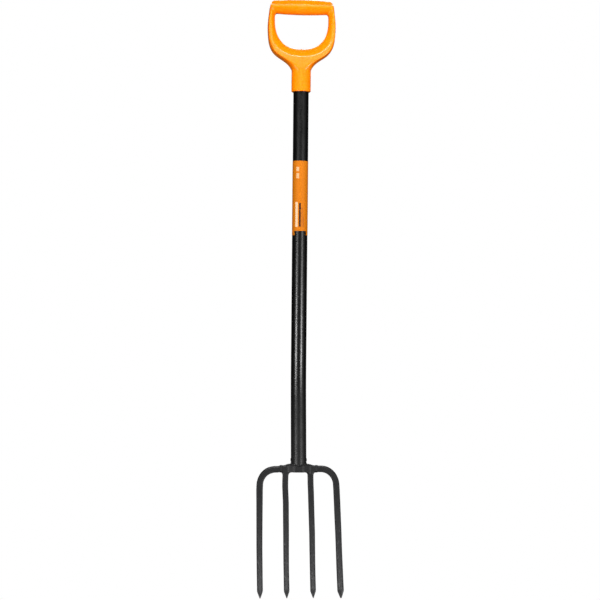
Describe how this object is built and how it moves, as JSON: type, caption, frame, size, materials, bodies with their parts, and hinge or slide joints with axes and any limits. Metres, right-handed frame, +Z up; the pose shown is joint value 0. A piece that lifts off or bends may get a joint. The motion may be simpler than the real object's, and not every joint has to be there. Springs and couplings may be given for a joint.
{
  "type": "digging fork",
  "caption": "Long-handled garden digging fork with a moulded D grip, a cranked tube shaft and a dished, welded steel head with pointed tines.",
  "frame": {"origin": "middle of the underside of the grip bar, on the axis of the upper shaft, where a hanging hook carries the tool", "axes": "+Z up the upper shaft towards the grip, -Y to the front, the side the tines are dished towards, X across the tines"},
  "size_m": [0.1638, 0.1246, 1.1465],
  "materials": {
    "handle_plastic": "satin moulded, bright orange",
    "screw_steel": "zinc plated",
    "shaft_coating": "satin black powder coat",
    "label_film": "printed film, matt orange",
    "head_coating": "satin black paint over forged steel",
    "weld_coating": "satin black paint over weld bead"
  },
  "bodies": {
    "root": {"d_handle": "handle_plastic", "handle_screw": "screw_steel", "shaft_tube": "shaft_coating", "label_wrap": "label_film", "inner_tine_pair": "head_coating", "outer_tine_left": "head_coating", "outer_tine_right": "head_coating", "tine_weld_left": "weld_coating", "tine_weld_right": "weld_coating", "shaft_weld": "weld_coating"}
  },
  "joints": []
}
